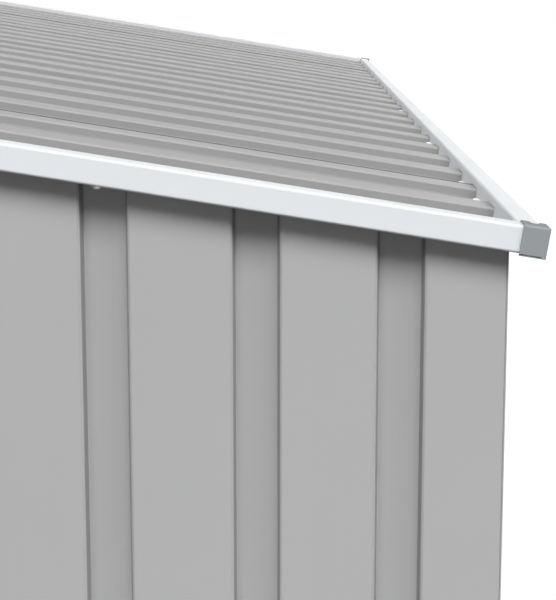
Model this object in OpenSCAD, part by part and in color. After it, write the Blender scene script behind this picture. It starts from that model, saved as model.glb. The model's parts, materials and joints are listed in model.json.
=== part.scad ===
// Steel log store with a pent roof: two open bays at the front, ribbed steel sheet on the
// ends, the back and the roof, folded roof edge trims and moulded corner caps.
// The front faces -Y, the low eave is at +Y and Z is up. The origin is on the ground, at the
// middle of the footprint. All sizes are in millimetres and all angles in degrees.

/* [Store] */
// Width over the flats of the two end walls
wall_w = 2400; // [1500:1:3200]
// Depth over the flats of the front and rear edges of the end walls
wall_d = 932.5; // [600:0.5:1400]
// Height of the roof frame's top at the front corners
front_h = 1568; // [1100:1:2100]
// Fall of the roof towards the back
roof_pitch = 9; // [4:0.5:14]
// Gap between the ground and the lower edge of the wall sheets
wall_lift = 8; // [2:1:40]

/* [Wall sheets] */
// Thickness of the wall and roof sheets
sheet_t = 1.2; // [0.8:0.1:2]
// Width of each recess at its mouth
recess_w = 36; // [25:0.5:60]
// Depth of each recess
recess_d = 9.5; // [4:0.5:14]
// Width of each sloping side of a recess
recess_side = 2.4; // [1.5:0.1:6]
// Flat band between the two recesses of a pair
pair_flat = 72; // [50:0.5:120]
// Wider flat band between two pairs of recesses
seam_flat = 77.5; // [60:0.5:130]
// Least flat band at the corners of the walls
corner_flat = 50; // [40:1:80]
// Part of the end wall that is folded round the rear corner
corner_return = 30; // [15:1:45]
// Radius inside the bends of the sheets
sheet_bend = 0.9; // [0.6:0.1:1.2]

/* [Roof sheets] */
// Distance from one roof rib to the next
rib_pitch = 106.5; // [90:0.1:140]
// Width of the flat top of a rib
rib_top = 32; // [20:0.5:60]
// Height of a rib
rib_h = 8.8; // [5:0.1:15]
// Width of each sloping side of a rib
rib_side = 1.2; // [0.8:0.1:8]
// Flat from the right verge trim to the top of the first rib
first_rib = 107; // [70:1:140]
// Least flat from the top of the last rib to the left verge trim
last_flat = 12; // [8:1:60]
// Distance from the foot of a rib to the edge of its sheet
sheet_edge = 4; // [2:0.5:12]

/* [Frame] */
// Thickness of the frame's folded steel
frame_t = 1.5; // [1:0.1:2.5]
// Radius inside the frame's bends
frame_bend = 1; // [0.6:0.1:1.5]
// Width of a front corner post
post_w = 55; // [45:1:80]
// Depth of a front corner post
post_d = 46; // [35:1:70]
// Leg of a front corner post that laps over the end wall
post_wrap = 25; // [15:1:40]
// Width of the middle posts
mid_post_w = 60; // [40:1:90]
// Height of the base rails
base_h = 60; // [40:1:90]
// Height of the rails under the roof
top_h = 60; // [40:1:90]
// Height of the rails half way up the walls
mid_h = 40; // [30:1:60]
// Lip on the edges of the channels
lip = 10; // [6:0.5:15]
// Diameter of the ground anchor holes
anchor_hole = 9; // [6:0.5:14]
// Distance of the anchor holes from the corners, along the end walls
anchor_inset = 120; // [80:1:200]

/* [Floor] */
// Slats in the floor of each bay
slat_count = 6; // [4:1:8]
// Width of a slat
slat_w = 100; // [60:1:110]
// Height of a slat
slat_h = 15; // [10:1:25]

/* [Roof trims] */
// Width of the trims' top face
trim_w = 18.5; // [16:0.5:35]
// Height of the trims' outer face
trim_face = 21.1; // [18:0.1:45]
// Height of the trims above the rib tops
trim_rise = 7.7; // [4:0.1:16]
// Thickness of the trims
trim_t = 1.1; // [0.8:0.1:2]
// Radius of the trims' outer top edge
trim_round = 2.1; // [1:0.1:4]
// Return under the verge trims
trim_lip = 7; // [4:0.5:12]
// Reach of the drip edge on the eave trims
drip = 2.5; // [1:0.5:6]
// How far the verge trims' inner legs stand inside the end walls' flats
verge_inset = 2; // [0:0.5:6]
// How far the eave trims' inner legs stand outside the wall line, down the slope
eave_out = 2.5; // [1:0.5:10]
// How far the roof sheets reach under the trims
sheet_under = 7; // [4:0.5:12]

/* [Corner caps] */
// Wall thickness of the caps
cap_t = 1.1; // [0.8:0.1:2.5]
// Distance from the trims' inner corner to the cap's edges
cap_start = 2.1; // [0.5:0.1:5]
// Radius of the caps' outer edges
cap_round = 1.9; // [1:0.1:3]
// Part of the cap that reaches below the trims
cap_drop = 1.4; // [0.5:0.1:3]
// Depth of the step along the foot of the cap's end face
cap_step = 0.5; // [0.2:0.1:0.7]
// Width of the round-ended notch in the cap's top
notch_w = 7; // [5:0.5:10]
// Length of the notch
notch_len = 7; // [5:0.5:12]

/* [Clearances] */
// Gap between pieces that butt against or stand on each other
seat = 0.3; // [0.1:0.1:0.8]
// Gap between a folded edge and the sheet inside it
fold_gap = 1; // [0.8:0.1:2]
// Gap round the ribs where they pass through the eave trims
rib_gap = 0.2; // [0.1:0.1:1.5]

/* [Hidden] */

bend_steps = 3;            // flats in each bend
cap_steps = 5;             // flats in each rounded edge of a cap
hole_fn = 48;
far = 6000;                // longer than anything it cuts

// Walls
pair_w = 2 * recess_w + pair_flat;
pair_pitch = pair_w + seam_flat;
wall_zone = recess_d + sheet_t + seat;     // from the flats to the frame

// Pairs of recesses in a wall, and the flats that stay at its corners.
function pairs(length) = floor((length - 2 * corner_flat + seam_flat) / pair_pitch);
function corner(length) = (length - pairs(length) * pair_pitch + seam_flat) / 2;

rear_pairs = pairs(wall_w);
rear_sheets = 3;
half_w = wall_w / 2;
half_d = wall_d / 2;

// Frame
frame_x = half_w - wall_zone;              // outer face of the side rails
rear_y = half_d - wall_zone;               // outer face of the rear rails
front_y = -half_d - frame_t;               // outer face of the front posts and rails
rail_w = post_w - wall_zone - 2 * (frame_t + seat);
rail_in_x = frame_x - rail_w;              // inner edge of the side rails
post_in_x = half_w + seat + frame_t - post_w;
slope = tan(roof_pitch);

// Roof
slope_len = wall_d / cos(roof_pitch);
sheet_top = seat + sheet_t;                // top of the valleys above the frame
rib_crown = sheet_top + rib_h;
verge_x = half_w - verge_inset;            // inner face of the verge trims
eave_s = slope_len + eave_out;             // inner face of the rear eave trim
trim_top = rib_crown + trim_rise;
trim_low = trim_top - trim_face;
trim_foot = sheet_top + seat;
rib_count = floor((2 * verge_x - first_rib - rib_top - last_flat) / rib_pitch) + 1;
roof_sheets = 5;

// ---- Folded sections -------------------------------------------------------------------

function unit(v) = v / norm(v);
function left_of(v) = [-v[1], v[0]];
function backwards(p) = [for (i = [len(p) - 1:-1:0]) p[i]];
function pick(r, i) = is_list(r) ? r[i] : r;

// The line p moved d to its left, with its corners kept sharp.
function beside(p, d) = [for (i = [0:len(p) - 1])
    let(
        a = left_of(unit(i > 0 ? p[i] - p[i - 1] : p[1] - p[0])),
        b = left_of(unit(i < len(p) - 1 ? p[i + 1] - p[i] : p[i] - p[i - 1])),
        m = unit(a + b)
    ) p[i] + m * d / (m * a)];

// The corner b between a and c, as an arc of radius r.
function bend(a, b, c, r) =
    let(
        u = unit(a - b), v = unit(c - b),
        half = acos(max(-1, min(1, u * v))) / 2,
        middle = b + unit(u + v) * r / sin(half),
        start = b + u * r / tan(half) - middle,
        turn = (180 - 2 * half) * (u[0] * v[1] - u[1] * v[0] > 0 ? -1 : 1)
    ) [for (k = [0:bend_steps])
        let(t = turn * k / bend_steps)
        middle + [start[0] * cos(t) - start[1] * sin(t), start[0] * sin(t) + start[1] * cos(t)]];

// Outline of a sheet of thickness t, folded along the line face, which is its right-hand side.
// r is the radius inside the bends: one number, or one for each corner.
function folded(face, t, r) =
    let(
        mid = beside(face, t / 2),
        last = len(mid) - 1,
        line = [mid[0], for (i = [1:last - 1]) each bend(mid[i - 1], mid[i], mid[i + 1],
                                                        pick(r, i - 1) + t / 2), mid[last]]
    ) concat(beside(line, -t / 2), backwards(beside(line, t / 2)));

// A lipped channel: its web stands on the first axis's zero, and it opens along that axis.
function channel(w, h) = [[w, h - lip], [w, h], [0, h], [0, 0], [w, 0], [w, lip]];

module section(face, t = frame_t, r = frame_bend) polygon(folded(face, t, r));

module along_x(length) rotate([90, 0, 90]) linear_extrude(length) children();
module along_y(length) translate([0, length, 0]) rotate([90, 0, 0]) linear_extrude(length) children();

// The roof's own frame: X across, Y down the slope from the front wall line, Z square to it.
module on_roof() translate([0, -half_d, front_h]) rotate([-roof_pitch, 0, 0]) children();

// Everything that lies more than gap below the top of the roof frame.
module under_roof(gap = 0) difference() {
    children();
    on_roof() translate([-far / 2, -far / 2, -gap]) cube(far);
}

module on_left() mirror([1, 0, 0]) children();
function roof_z(y) = front_h - (y + half_d) * slope;

// ---- Base and floor --------------------------------------------------------------------

module side_base_rail() difference() {
    translate([frame_x, 0, 0]) mirror([1, 0, 0]) translate([0, -half_d + seat, 0])
        along_y(rear_y + half_d - seat) section(channel(rail_w, base_h));
    for (y = [-half_d + anchor_inset, half_d - anchor_inset])
        translate([frame_x - rail_w / 2, y, -frame_t])
            cylinder(h = 3 * frame_t, d = anchor_hole, $fn = hole_fn);
}

module cross_rail(y, way, half_len, z, h) translate([-half_len, y, z])
    mirror([0, way < 0 ? 1 : 0, 0]) along_x(2 * half_len) section(channel(rail_w, h));

bearer_start = front_y + rail_w + seat;
bearer_len = rear_y - rail_w - seat - bearer_start;

module bearer(x) translate([x - rail_w / 2, bearer_start, 0])
    along_y(bearer_len) section(channel(rail_w, base_h));

slat_room = bearer_len - 2 * slat_h;
slat_step = (slat_room - slat_w) / (slat_count - 1);
slat_face = [[0, 0], [0, slat_h], [slat_w, slat_h], [slat_w, 0]];

module floor_slats() for (i = [0:slat_count - 1])
    translate([seat, bearer_start + slat_h + i * slat_step, base_h + seat])
        along_x(frame_x - 2 * seat) section(backwards(slat_face));

// ---- Posts -----------------------------------------------------------------------------

// The front corner post takes the end wall's edge and the side rails' ends inside its fold.
module front_corner_post() under_roof() linear_extrude(front_h + post_w)
    section([[post_in_x, front_y + post_d], [post_in_x, front_y],
             [half_w + seat + frame_t, front_y], [half_w + seat + frame_t, front_y + post_wrap]]);

mid_post_face = [[lip, rail_w], [0, rail_w], [0, 0], [mid_post_w, 0], [mid_post_w, rail_w],
                 [mid_post_w - lip, rail_w]];

module front_middle_post() translate([-mid_post_w / 2, front_y, base_h + seat])
    linear_extrude(front_h - top_h - base_h - 2 * seat) section(mid_post_face);

rear_top_z = roof_z(rear_y) - top_h;       // underside of the rear top rail

module rear_middle_post() translate([-mid_post_w / 2, rear_y, base_h + seat])
    mirror([0, 1, 0]) linear_extrude(rear_top_z - base_h - 2 * seat) section(mid_post_face);

rear_post_face = [[lip, rail_w], [0, rail_w], [0, 0], [rail_w, 0], [rail_w, rail_w],
                  [rail_w - lip, rail_w]];

module rear_corner_post() under_roof(top_h + seat) translate([rail_in_x, rear_y, base_h + seat])
    mirror([0, 1, 0]) linear_extrude(front_h) section(rear_post_face);

// ---- Rails under the roof and half way up the walls --------------------------------------

// A channel whose top flange follows the roof's slope; way is the side that it opens to.
module pitched_rail(y, way, z, half_len) {
    y_in = y + way * rail_w;
    face = [[y_in, roof_z(y_in) - lip], [y_in, roof_z(y_in)], [y, roof_z(y)], [y, z], [y_in, z],
            [y_in, z + lip]];
    translate([-half_len, 0, 0]) along_x(2 * half_len) section(way > 0 ? face : backwards(face));
}

// The part of the children between two upright planes across the store.
module between_y(y0, y1) intersection() {
    children();
    translate([-far / 2, y0, -far / 2]) cube([far, y1 - y0, far]);
}

module side_top_rail() between_y(-half_d + seat, rear_y)
    on_roof() translate([frame_x, -top_h, -top_h]) mirror([1, 0, 0])
        along_y(slope_len + 2 * top_h) section(channel(rail_w, top_h));

module roof_rafter() between_y(front_y + rail_w + seat, rear_y - rail_w - seat)
    on_roof() translate([-rail_w / 2, 0, -top_h])
        along_y(slope_len) section(channel(rail_w, top_h));

module purlin() on_roof() translate([rail_w / 2 + seat, slope_len / 2 - rail_w / 2, -top_h])
    along_x(rail_in_x - rail_w / 2 - 2 * seat) section(channel(rail_w, top_h));

mid_z = (base_h + rear_top_z - mid_h) / 2;

module side_mid_rail() translate([frame_x, 0, mid_z]) mirror([1, 0, 0])
    translate([0, -half_d + seat, 0])
        along_y(wall_d - wall_zone - rail_w - 2 * seat) section(channel(rail_w, mid_h));

module rear_mid_rail() translate([mid_post_w / 2 + seat, rear_y, mid_z]) mirror([0, 1, 0])
    along_x(rail_in_x - mid_post_w / 2 - 2 * seat) section(channel(rail_w, mid_h));

// ---- Wall sheets -----------------------------------------------------------------------

// Corners of count pairs of recesses, the first of which starts at u.
function recess(u) = [[u, 0], [u + recess_side, recess_d], [u + recess_w - recess_side, recess_d],
                      [u + recess_w, 0]];
function recesses(u, count) = [for (i = [0:count - 1]) each concat(
    recess(u + i * pair_pitch), recess(u + i * pair_pitch + recess_w + pair_flat))];

module end_wall() {
    ribs = [for (p = recesses(corner(wall_d), pairs(wall_d))) [half_w - p[1], p[0] - half_d]];
    face = concat([[half_w, fold_gap - half_d]], ribs,
                  [[half_w, half_d], [half_w - corner_return, half_d]]);
    under_roof() translate([0, 0, wall_lift]) linear_extrude(front_h) section(face, sheet_t, sheet_bend);
}

function rear_start(pair) = pair * pair_pitch + corner(wall_w) - half_w;

module rear_wall(i) {
    first = floor(rear_pairs * i / rear_sheets);
    after = floor(rear_pairs * (i + 1) / rear_sheets);
    x0 = i == 0 ? corner_return + seat - half_w : rear_start(first) - (seam_flat - seat) / 2;
    x1 = i == rear_sheets - 1 ? half_w - corner_return - seat
                              : rear_start(after) - (seam_flat + seat) / 2;
    ribs = [for (p = recesses(rear_start(first), after - first)) [p[0], half_d - p[1]]];
    face = backwards(concat([[x0, half_d]], ribs, [[x1, half_d]]));
    under_roof() translate([0, 0, wall_lift]) linear_extrude(front_h) section(face, sheet_t, sheet_bend);
}

// ---- Roof sheets -----------------------------------------------------------------------

// Right-hand edge of a rib's flat top, counted from the right verge.
function rib_x(i) = verge_x - first_rib - i * rib_pitch;
function rib_foot(i) = rib_x(i) - rib_top - rib_side;
function rib(i) = [[rib_foot(i), seat], [rib_x(i) - rib_top, seat + rib_h], [rib_x(i), seat + rib_h],
                   [rib_x(i) + rib_side, seat]];

module roof_sheet(k) {
    first = floor(rib_count * k / roof_sheets);
    last = floor(rib_count * (k + 1) / roof_sheets) - 1;
    x0 = k == roof_sheets - 1 ? -verge_x - sheet_under : rib_foot(last) - sheet_edge;
    x1 = k == 0 ? verge_x + sheet_under : rib_foot(first - 1) - sheet_edge - seat;
    face = concat([[x0, seat]], [for (i = [last:-1:first]) each rib(i)], [[x1, seat]]);
    on_roof() translate([0, -eave_out - sheet_under, 0])
        along_y(slope_len + 2 * (eave_out + sheet_under)) section(face, sheet_t, sheet_bend);
}

// ---- Roof trims ------------------------------------------------------------------------

// Both are drawn outwards from the inner leg: first axis outwards, second square to the roof.
verge_face = [[trim_w - trim_lip, trim_low], [trim_w, trim_low], [trim_w, trim_top], [0, trim_top],
              [0, trim_foot]];
eave_face = [[trim_w + drip, trim_low], [trim_w, trim_low + drip], [trim_w, trim_top],
             [0, trim_top], [0, trim_foot]];
trim_bends = [sheet_bend, trim_round - trim_t, sheet_bend];

module verge_trim() on_roof() intersection() {
    translate([verge_x, -far / 4, 0]) along_y(far) section(verge_face, trim_t, trim_bends);
    translate([0, 0, trim_low - trim_face]) linear_extrude(3 * trim_face)
        polygon([[verge_x, seat - eave_out], [verge_x + far, seat - eave_out - far],
                 [verge_x + far, eave_s - seat + far], [verge_x, eave_s - seat]]);
}

// The ribs of the roof, larger by the clearance, where they pass through an eave trim's leg.
module rib_notches(length) for (i = [0:rib_count - 1])
    along_y(length) polygon([[rib_foot(i) - rib_gap, 0],
        [rib_x(i) - rib_top - rib_gap, rib_crown + rib_gap],
        [rib_x(i) + rib_gap, rib_crown + rib_gap], [rib_x(i) + rib_side + rib_gap, 0]]);

module rear_eave_trim() on_roof() difference() {
    intersection() {
        translate([-far / 2, eave_s, 0]) along_x(far) section(eave_face, trim_t, trim_bends);
        translate([0, 0, trim_low - trim_face]) linear_extrude(3 * trim_face)
            polygon([[-verge_x, eave_s], [verge_x, eave_s], [verge_x + trim_w, eave_s + trim_w],
                     [verge_x + trim_w, eave_s + far], [-verge_x - trim_w, eave_s + far],
                     [-verge_x - trim_w, eave_s + trim_w]]);
    }
    translate([0, eave_s - trim_t, 0]) rib_notches(3 * trim_t);
}

// The front trim is the rear one turned over the middle of the slope.
module front_eave_trim() on_roof() translate([0, slope_len, 0]) mirror([0, 1, 0])
    rotate([roof_pitch, 0, 0]) translate([0, half_d, -front_h]) rear_eave_trim();

// ---- Corner caps -----------------------------------------------------------------------

cap_x = trim_w + seat + cap_t;             // outer faces, from the trims' inner corner
cap_s = trim_w + drip + seat + cap_t;
cap_low = trim_low - cap_drop;
cap_top = trim_top + seat + cap_t;

// A square from [low, low_2] to [high, high_2] whose far corner is rounded.
module far_rounded(low, low_2, high, high_2, r) polygon(concat(
    [[low, low_2], [high, low_2]],
    [for (k = [0:cap_steps]) let(t = 90 * k / cap_steps)
        [high - r + r * cos(t), high_2 - r + r * sin(t)]],
    [[low, high_2]]));

module cap_block() intersection() {
    translate([0, 0, cap_low]) linear_extrude(cap_top - cap_low)
        far_rounded(cap_start, cap_start, cap_x, cap_s, cap_round);
    along_x(cap_x) far_rounded(cap_start, cap_low, cap_s, cap_top, cap_round);
    along_y(cap_s) far_rounded(cap_start, cap_low, cap_x, cap_top, cap_round);
}

// A cap at the rear right corner, drawn from the trims' inner corner.
module cap_shape() difference() {
    cap_block();
    translate([-cap_x, -cap_s, cap_low - 1])
        cube([cap_x + trim_w + seat, cap_s + trim_w + drip + seat, trim_top + seat - cap_low + 1]);
    translate([cap_x - cap_step, cap_start - 1, cap_low - 1])
        cube([cap_step + 1, cap_s - cap_start - 2 * cap_round + 1, cap_drop + 1]);
    translate([cap_start + notch_len - notch_w / 2, (cap_start + cap_s) / 2, trim_top]) {
        cylinder(h = 4 * cap_t, d = notch_w, $fn = hole_fn);
        translate([-notch_len, -notch_w / 2, 0]) cube([notch_len, notch_w, 4 * cap_t]);
    }
}

module rear_cap() on_roof() translate([verge_x, eave_s, 0]) cap_shape();
module front_cap() on_roof() translate([verge_x, -eave_out, 0]) mirror([0, 1, 0]) cap_shape();

// ---- Nodes -----------------------------------------------------------------------------

steel_grey = [0.66, 0.67, 0.67];
trim_white = [0.93, 0.95, 0.96];
cap_grey = [0.55, 0.57, 0.58];
zinc = [0.74, 0.76, 0.77];

module base_rail_front() color(zinc) cross_rail(front_y, 1, post_in_x - seat, 0, base_h);
module base_rail_rear() color(zinc) cross_rail(rear_y, -1, rail_in_x - seat, 0, base_h);
module base_rail_left() color(zinc) on_left() side_base_rail();
module base_rail_right() color(zinc) side_base_rail();
module bearer_left() color(zinc) bearer(-rail_in_x / 2);
module bearer_middle() color(zinc) bearer(0);
module bearer_right() color(zinc) bearer(rail_in_x / 2);
module floor_slats_left() color(zinc) on_left() floor_slats();
module floor_slats_right() color(zinc) floor_slats();
module front_post_left() color(steel_grey) on_left() front_corner_post();
module front_post_middle() color(steel_grey) front_middle_post();
module front_post_right() color(steel_grey) front_corner_post();
module rear_post_left() color(zinc) on_left() rear_corner_post();
module rear_post_middle() color(zinc) rear_middle_post();
module rear_post_right() color(zinc) rear_corner_post();
module header() color(steel_grey) pitched_rail(front_y, 1, front_h - top_h, post_in_x - seat);
module top_rail_rear() color(zinc) pitched_rail(rear_y, -1, rear_top_z, rail_in_x - seat);
module top_rail_left() color(zinc) on_left() side_top_rail();
module top_rail_right() color(zinc) side_top_rail();
module rafter() color(zinc) roof_rafter();
module purlin_left() color(zinc) on_left() purlin();
module purlin_right() color(zinc) purlin();
module mid_rail_left() color(zinc) on_left() side_mid_rail();
module mid_rail_right() color(zinc) side_mid_rail();
module mid_rail_rear_left() color(zinc) on_left() rear_mid_rail();
module mid_rail_rear_right() color(zinc) rear_mid_rail();
module end_wall_left() color(steel_grey) on_left() end_wall();
module end_wall_right() color(steel_grey) end_wall();
module rear_wall_left() color(steel_grey) rear_wall(0);
module rear_wall_middle() color(steel_grey) rear_wall(1);
module rear_wall_right() color(steel_grey) rear_wall(2);
module roof_sheet_1() color(steel_grey) roof_sheet(0);
module roof_sheet_2() color(steel_grey) roof_sheet(1);
module roof_sheet_3() color(steel_grey) roof_sheet(2);
module roof_sheet_4() color(steel_grey) roof_sheet(3);
module roof_sheet_5() color(steel_grey) roof_sheet(4);
module verge_trim_left() color(trim_white) on_left() verge_trim();
module verge_trim_right() color(trim_white) verge_trim();
module eave_trim_front() color(trim_white) front_eave_trim();
module eave_trim_rear() color(trim_white) rear_eave_trim();
module corner_cap_front_left() color(cap_grey) on_left() front_cap();
module corner_cap_front_right() color(cap_grey) front_cap();
module corner_cap_rear_left() color(cap_grey) on_left() rear_cap();
module corner_cap_rear_right() color(cap_grey) rear_cap();

base_rail_front();
base_rail_rear();
base_rail_left();
base_rail_right();
bearer_left();
bearer_middle();
bearer_right();
floor_slats_left();
floor_slats_right();
front_post_left();
front_post_middle();
front_post_right();
rear_post_left();
rear_post_middle();
rear_post_right();
header();
top_rail_rear();
top_rail_left();
top_rail_right();
rafter();
purlin_left();
purlin_right();
mid_rail_left();
mid_rail_right();
mid_rail_rear_left();
mid_rail_rear_right();
end_wall_left();
end_wall_right();
rear_wall_left();
rear_wall_middle();
rear_wall_right();
roof_sheet_1();
roof_sheet_2();
roof_sheet_3();
roof_sheet_4();
roof_sheet_5();
verge_trim_left();
verge_trim_right();
eave_trim_front();
eave_trim_rear();
corner_cap_front_left();
corner_cap_front_right();
corner_cap_rear_left();
corner_cap_rear_right();
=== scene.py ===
import json
import math

import bpy
from mathutils import Matrix, Vector


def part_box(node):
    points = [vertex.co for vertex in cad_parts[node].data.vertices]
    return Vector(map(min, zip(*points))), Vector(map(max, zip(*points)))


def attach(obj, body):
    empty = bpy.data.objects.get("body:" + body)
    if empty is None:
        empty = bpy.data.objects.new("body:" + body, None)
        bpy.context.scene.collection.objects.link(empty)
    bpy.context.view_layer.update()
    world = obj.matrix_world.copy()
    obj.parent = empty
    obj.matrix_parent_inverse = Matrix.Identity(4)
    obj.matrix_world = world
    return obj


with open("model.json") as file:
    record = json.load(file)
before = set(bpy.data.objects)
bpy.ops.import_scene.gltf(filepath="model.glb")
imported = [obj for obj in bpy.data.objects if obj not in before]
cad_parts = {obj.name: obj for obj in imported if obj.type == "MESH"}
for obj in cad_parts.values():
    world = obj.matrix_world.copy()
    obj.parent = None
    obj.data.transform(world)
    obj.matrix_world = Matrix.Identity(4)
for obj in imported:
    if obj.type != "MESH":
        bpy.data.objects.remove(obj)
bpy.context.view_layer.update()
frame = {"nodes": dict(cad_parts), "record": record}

# Metres throughout. The low eave is at +Y, the open front faces -Y and Z is up.

# ---- Sizes of the store that the screws and the marks in the coats follow ----------------------

ROOF_PITCH = math.radians(9)
SHEET = 0.0012            # thickness of the wall and roof sheets
SEAT = 0.0003             # gap under the roof sheets

# Recesses in the wall sheets, which come in pairs
RECESS_WIDTH = 0.036
RECESS_DEPTH = 0.0095
RECESS_SIDE = 0.0024      # how far each sloping side reaches in
PAIR_FLAT = 0.072         # between the two recesses of a pair
SEAM_FLAT = 0.0775        # between one pair and the next
LEAST_CORNER_FLAT = 0.05  # between a wall's end and its first recess
PAIR_PITCH = 2 * RECESS_WIDTH + PAIR_FLAT + SEAM_FLAT

# Ribs on the roof
RIB_PITCH = 0.1065
RIB_TOP = 0.032
RIB_HEIGHT = 0.0088
RIB_SIDE = 0.0012         # how far each side of a rib leans in
FIRST_RIB = 0.107         # flat from the right verge trim to the first rib's top
LAST_FLAT = 0.012         # least flat from the last rib's top to the left verge trim
RIBS_A_SHEET = 4          # from one side lap to the next
VERGE_INSET = 0.002       # of the verge trims' inner legs inside the end walls' faces
EAVE_OUT = 0.0025         # of the eave trims' inner legs beyond the front and rear walls

# Floor slats of one bay
SLATS = 6
SLAT_WIDTH = 0.1

wall_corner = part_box("end_wall_right")[1]
HALF_WIDTH = wall_corner.x
HALF_DEPTH = wall_corner.y
FRONT_TOP = wall_corner.z + SEAT * math.cos(ROOF_PITCH)
SLOPE_LENGTH = 2 * HALF_DEPTH / math.cos(ROOF_PITCH)
RECESS_FLOOR = HALF_WIDTH - RECESS_DEPTH      # of the end walls' recesses
ROOF_UP = Vector((0, math.sin(ROOF_PITCH), math.cos(ROOF_PITCH)))
CREST = SEAT + SHEET + RIB_HEIGHT      # from the roof frame's top


def roof_point(x, down, above):
    """A point down the slope from the front wall line and above the roof frame, square to it."""
    return Vector((
        x,
        -HALF_DEPTH + down * math.cos(ROOF_PITCH) + above * math.sin(ROOF_PITCH),
        FRONT_TOP - down * math.sin(ROOF_PITCH) + above * math.cos(ROOF_PITCH),
    ))


def roof_height(y):
    """Height of the roof frame's top over a place on the ground."""
    return FRONT_TOP - (y + HALF_DEPTH) * math.tan(ROOF_PITCH)


def recess_middles(length):
    """Distances of the recesses' middles from one end of a wall."""
    pairs = math.floor((length - 2 * LEAST_CORNER_FLAT + SEAM_FLAT) / PAIR_PITCH)
    corner = (length - pairs * PAIR_PITCH + SEAM_FLAT) / 2
    starts = [corner + i * PAIR_PITCH + side * (RECESS_WIDTH + PAIR_FLAT)
              for i in range(pairs) for side in (0, 1)]
    return [start + RECESS_WIDTH / 2 for start in starts]


# ---- Helpers for node trees --------------------------------------------------------------------


def new_tree(name, kind, inputs, outputs):
    """A node group with named sockets, its input node and its output node."""
    tree = bpy.data.node_groups.new(name, kind)
    for label, (socket_type, default) in inputs.items():
        socket = tree.interface.new_socket(label, in_out="INPUT", socket_type=socket_type)
        if default is not None:
            socket.default_value = default
    for label, socket_type in outputs.items():
        tree.interface.new_socket(label, in_out="OUTPUT", socket_type=socket_type)
    return tree, tree.nodes.new("NodeGroupInput"), tree.nodes.new("NodeGroupOutput")


def add(tree, kind, into=None, **settings):
    """A node with its settings, and its inputs set to values or linked to other nodes' outputs."""
    node = tree.nodes.new(kind)
    for name, value in settings.items():
        setattr(node, name, value)
    for key, value in (into or {}).items():
        if isinstance(value, bpy.types.NodeSocket):
            tree.links.new(value, node.inputs[key])
        else:
            node.inputs[key].default_value = value
    return node


def math_node(tree, operation, a, b=0.0, clamp=False):
    node = add(tree, "ShaderNodeMath", {0: a, 1: b}, operation=operation, use_clamp=clamp)
    return node.outputs[0]


def product(tree, *values):
    """Several values multiplied together."""
    result = values[0]
    for value in values[1:]:
        result = math_node(tree, "MULTIPLY", result, value)
    return result


def dot(tree, a, b):
    node = add(tree, "ShaderNodeVectorMath", {0: a, 1: b}, operation="DOT_PRODUCT")
    return node.outputs["Value"]


def ranged(tree, value, low, high, to_low=0.0, to_high=1.0, smooth=False):
    """A value carried from one range to another and held at its ends."""
    kind = "SMOOTHSTEP" if smooth else "LINEAR"
    inputs = {
        "Value": value, "From Min": low, "From Max": high, "To Min": to_low, "To Max": to_high}
    return add(tree, "ShaderNodeMapRange", inputs, interpolation_type=kind).outputs["Result"]


def object_place(tree):
    return add(tree, "ShaderNodeTexCoord").outputs["Object"]


def true_normal(tree):
    return add(tree, "ShaderNodeNewGeometry").outputs["True Normal"]


def split(tree, vector):
    """The X, Y and Z of a vector."""
    return add(tree, "ShaderNodeSeparateXYZ", {0: vector}).outputs


def noise(tree, scale, stretch=(1, 1, 1), detail=2.0, rough=0.5):
    """Value of a noise pattern on the piece itself."""
    place = object_place(tree)
    if stretch != (1, 1, 1):
        place = add(tree, "ShaderNodeMapping", {"Vector": place, "Scale": stretch}).outputs[0]
    inputs = {"Vector": place, "Scale": scale, "Detail": detail, "Roughness": rough}
    return add(tree, "ShaderNodeTexNoise", inputs).outputs["Fac"]


def between(tree, value, low, high, soft=0.0005):
    """1 where a value lies between two limits."""
    above = ranged(tree, value, low - soft, low + soft)
    below = ranged(tree, value, high - soft, high + soft, 1.0, 0.0)
    return product(tree, above, below)


def around_zero(tree, value, length):
    """A value wrapped to a length, from minus half of it to plus half of it."""
    shifted = math_node(tree, "ADD", value, length / 2)
    wrapped = math_node(tree, "FLOORED_MODULO", shifted, length)
    return math_node(tree, "SUBTRACT", wrapped, length / 2)


def scaled(tree, color, factor):
    """A colour or a vector times a factor."""
    node = add(tree, "ShaderNodeVectorMath", {0: color, "Scale": factor}, operation="SCALE")
    return node.outputs[0]


def mixed_color(tree, factor, a, b):
    node = add(tree, "ShaderNodeMix", {0: factor, 6: a, 7: b}, data_type="RGBA")
    return node.outputs[2]


# ---- Shader groups that several finishes share --------------------------------------------------


def coat_film_group():
    """A baked coat of paint or moulded skin: broad mottling, fine orange peel, uneven gloss."""
    inputs = {
        "Color": ("NodeSocketColor", (0.5, 0.5, 0.5, 1)),
        "Mottle": ("NodeSocketFloat", 0.02),
        "Mottle Scale": ("NodeSocketFloat", 4.0),
        "Peel Scale": ("NodeSocketFloat", 700.0),
        "Roughness": ("NodeSocketFloat", 0.5),
        "Roughness Spread": ("NodeSocketFloat", 0.1),
    }
    outputs = {
        "Color": "NodeSocketColor", "Roughness": "NodeSocketFloat", "Height": "NodeSocketFloat"}
    tree, enter, leave = new_tree("Coat Film", "ShaderNodeTree", inputs, outputs)
    given = enter.outputs
    broad = noise(tree, given["Mottle Scale"], detail=3.0)
    low = math_node(tree, "SUBTRACT", 1.0, given["Mottle"])
    high = math_node(tree, "ADD", 1.0, given["Mottle"])
    tone = ranged(tree, broad, 0.3, 0.7, low, high)
    tree.links.new(scaled(tree, given["Color"], tone), leave.inputs["Color"])
    cloud = math_node(tree, "SUBTRACT", noise(tree, scale=30.0, detail=4.0), 0.5)
    spread = math_node(tree, "MULTIPLY", cloud, given["Roughness Spread"])
    gloss = math_node(tree, "ADD", given["Roughness"], spread, clamp=True)
    tree.links.new(gloss, leave.inputs["Roughness"])
    peel = noise(tree, given["Peel Scale"], detail=2.0)
    tree.links.new(peel, leave.inputs["Height"])
    return tree


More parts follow.
